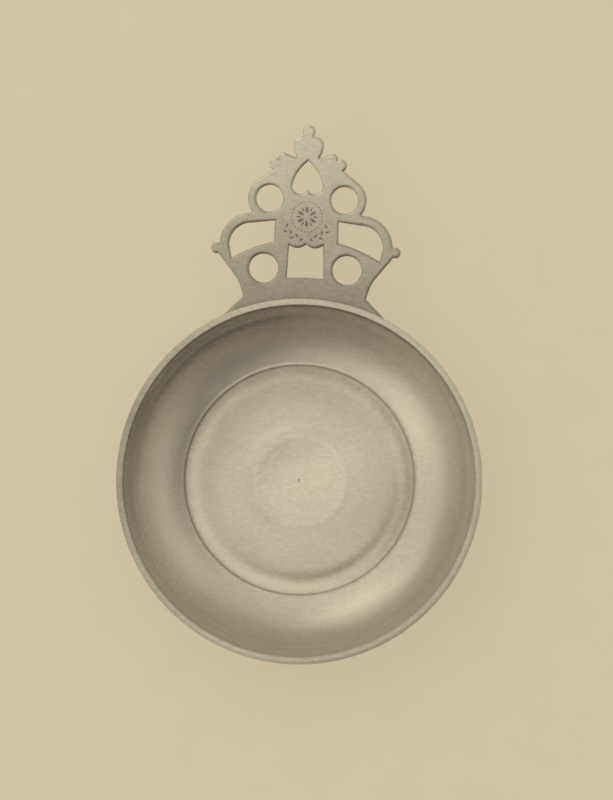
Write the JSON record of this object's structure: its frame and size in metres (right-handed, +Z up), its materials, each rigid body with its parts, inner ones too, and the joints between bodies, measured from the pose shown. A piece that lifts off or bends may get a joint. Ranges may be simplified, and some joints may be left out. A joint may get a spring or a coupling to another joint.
{
  "type": "silver porringer",
  "caption": "Shallow bellied silver bowl with a flared collar, domed floor, wired rim and foot ring, and one flat pierced cast handle to lift or hang it by.",
  "frame": {"origin": "on the surface that the foot ring stands on, under the middle of the whole length and width", "axes": "+Y from the bowl towards the tip of the handle, +Z up through the bowl's mouth, +X to the right of the handle"},
  "size_m": [0.138, 0.2032, 0.057],
  "materials": {
    "raised_silver": "hand-raised silver, softly polished, with faint hammer marks and fine wear",
    "drawn_silver": "drawn silver wire, burnished by handling",
    "cast_silver": "cast silver, filed edges, satin face",
    "silver_solder": "silver solder, slightly grey and matt"
  },
  "bodies": {
    "root": {"bowl": "raised_silver", "rim_wire": "drawn_silver", "foot_ring": "drawn_silver", "foot_solder_seam": "silver_solder", "handle": "cast_silver", "handle_solder_seam": "silver_solder"}
  },
  "joints": []
}
